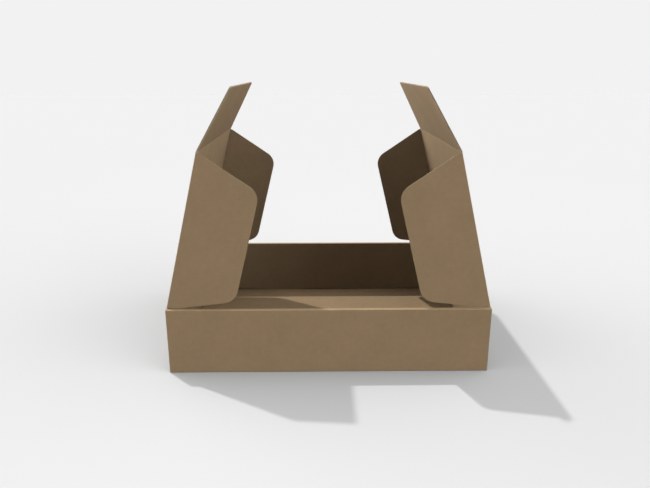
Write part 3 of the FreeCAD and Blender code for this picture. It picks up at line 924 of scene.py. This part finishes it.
def make_ground():
    mesh = bpy.data.meshes.new("ground")
    size = GROUND_HALF_SIZE
    corners = box_outline((-size, -size), (size, size))
    mesh.from_pydata([(*corner, -GROUND_DROP) for corner in corners], [], [(0, 1, 2, 3)])
    material = bpy.data.materials.new("pale_ground")
    material.use_nodes = True
    tree = material.node_tree
    place = add_node(tree, "ShaderNodeTexCoord").outputs["Object"]
    away = add_node(tree, "ShaderNodeVectorMath", {0: place}, operation="LENGTH")
    tone = add_node(tree, "ShaderNodeMapRange", {
        "Value": away.outputs["Value"], "From Min": GROUND_FADE[0], "From Max": GROUND_FADE[1],
        "To Min": GROUND_NEAR, "To Max": GROUND_FAR})
    surface = tree.nodes["Principled BSDF"]
    tree.links.new(tone.outputs[0], surface.inputs["Base Color"])
    surface.inputs["Roughness"].default_value = 1.0
    surface.inputs["Specular IOR Level"].default_value = 0.0
    mesh.materials.append(material)
    ground = bpy.data.objects.new("ground", mesh)
    bpy.context.scene.collection.objects.link(ground)
    return ground


make_ground()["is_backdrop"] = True
print(f"ground: {2 * GROUND_HALF_SIZE:.0f} m wide")

# %% [markdown]
# ## Light
#
# The studio has one lamp behind the box on the left, like a low sun, and six panels: overhead,
# low on the left, on the right, low behind on the left, and in front on both sides. Area lamps
# could stand for the panels, but they would have to be kept out of every view. Smooth lobes in
# the world's light do the same with no objects. All of it is balanced so that level ground in
# full light gets about one unit.
#
# Light that bounces about in a brown box turns redder each time and would fill the inside with
# a red glow, so the lamp and the panels fade at every bounce.

# %% Hang the key lamp
SUN_FROM = Vector((-0.404, 0.42, 1))
SUN_SHARE = 0.292                          # of the light on level ground
SUN_ANGLE = math.radians(1.5)              # how soft its shadows are
KEPT_AT_A_BOUNCE = 0.1                     # the share of its light that is left after each bounce


def fade_at_bounces(tree):
    """One for light straight from its source, and KEPT_AT_A_BOUNCE of that after each bounce.
    A ray that leaves a matt surface has counted that surface already, so it is taken off."""
    rays = add_node(tree, "ShaderNodeLightPath").outputs
    surfaces = calculate(tree, "SUBTRACT", rays["Ray Depth"], rays["Is Diffuse Ray"])
    bounces = calculate(tree, "MAXIMUM", calculate(tree, "SUBTRACT", surfaces, 1), 0)
    return calculate(tree, "POWER", KEPT_AT_A_BOUNCE, bounces)


def add_key_lamp():
    lamp = bpy.data.lights.new("key_lamp", "SUN")
    lamp.energy = SUN_SHARE * math.pi / SUN_FROM.normalized().z
    lamp.angle = SUN_ANGLE
    lamp.use_nodes = True
    tree = lamp.node_tree
    tree.links.new(fade_at_bounces(tree), tree.nodes["Emission"].inputs["Strength"])
    key = bpy.data.objects.new("key_lamp", lamp)
    key.rotation_mode = "QUATERNION"
    key.rotation_quaternion = SUN_FROM.to_track_quat("Z", "Y")
    bpy.context.scene.collection.objects.link(key)
    return lamp


print(f"key lamp: {add_key_lamp().energy:.3f} W per square metre")

# %% Light the panels
EVEN_SHARE = 0.05                          # light that comes from everywhere
BACKDROP_SEEN = 0.888
PANELS = {                                 # where from, how narrow, how bright
    "overhead": ((0, 0, 1), 8, 1.14),
    "low left": ((-1, 0, 0.1), 6, 1.84),
    "right": ((1, 0, 0.3), 3, 1.32),
    "low behind left": ((-1, 1, 0.15), 12, 3.80),
    "front left": ((-1, -1, 0.4), 12, 0.59),
    "front right": ((1, -1, 0.4), 12, 1.47),
}


def make_studio_world():
    """Light panels as smooth lobes round the box. What looks straight at the world, or sees it
    mirrored, sees a plain backdrop."""
    world = bpy.data.worlds.new("studio")
    world.use_nodes = True
    tree = world.node_tree
    direction = add_node(tree, "ShaderNodeTexCoord").outputs["Generated"]
    light = EVEN_SHARE
    for towards, narrowness, brightness in PANELS.values():
        facing = add_node(tree, "ShaderNodeVectorMath", {
            0: direction, 1: Vector(towards).normalized()}, operation="DOT_PRODUCT")
        in_front = calculate(tree, "MAXIMUM", facing.outputs["Value"], 0)
        lobe = calculate(tree, "POWER", in_front, narrowness)
        light = calculate(tree, "MULTIPLY_ADD", lobe, brightness, light)
    light = calculate(tree, "MULTIPLY", light, fade_at_bounces(tree))

    rays = add_node(tree, "ShaderNodeLightPath").outputs
    mirrored = calculate(tree, "MAXIMUM", rays["Is Glossy Ray"], rays["Is Transmission Ray"])
    looking = calculate(tree, "MAXIMUM", rays["Is Camera Ray"], mirrored)
    level = add_node(tree, "ShaderNodeMix", {0: looking, 2: light, 3: BACKDROP_SEEN})
    background = tree.nodes["Background"]
    tree.links.new(level.outputs[0], background.inputs["Strength"])
    background.inputs["Color"].default_value = (1, 1, 1, 1)
    bpy.context.scene.world = world


make_studio_world()
print("panels:", ", ".join(PANELS))

# %% [markdown]
# ## Camera
#
# The main view looks at the box almost square from the front and a little from above, so that
# the front wall, both lids and the floor inside all show. A longer lens from farther off would
# draw the box flatter. This one stands close, so the depth of the tray shows.

# %% Set up the camera
CAMERA_AT = Vector((-10.81, -616.49, 276.1)) * MM
CAMERA_TURN = (math.radians(73.5), 0, math.radians(-0.788))
CAMERA_LENS, SENSOR_WIDTH = 32.98, 36      # in millimetres
CAMERA_CLIP = (0.01, 50)


def set_up_camera():
    camera = bpy.data.objects.new("camera", bpy.data.cameras.new("camera"))
    camera.location, camera.rotation_euler = CAMERA_AT, CAMERA_TURN
    camera.data.lens, camera.data.sensor_width = CAMERA_LENS, SENSOR_WIDTH
    camera.data.clip_start, camera.data.clip_end = CAMERA_CLIP
    bpy.context.scene.collection.objects.link(camera)
    bpy.context.scene.camera = camera
    bpy.context.scene.view_settings.view_transform = "Standard"


set_up_camera()
print(f"camera: {CAMERA_AT.length:.2f} m from the box, {CAMERA_LENS} mm lens")

# %% [markdown]
# ## The sizes, before and after
#
# A dressed part that has grown would no longer fit where its construction fits, and the eye
# can't see half a millimetre. So the box round the construction, taken at the start, is
# printed beside the box round what is seen now.

# %% Print the sizes
visual_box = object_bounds()
boxes = {"cad": cad_box, "visual": visual_box}
for name, (low, high) in boxes.items():
    print(name, [round(number, 4) for number in (*low, *high)])
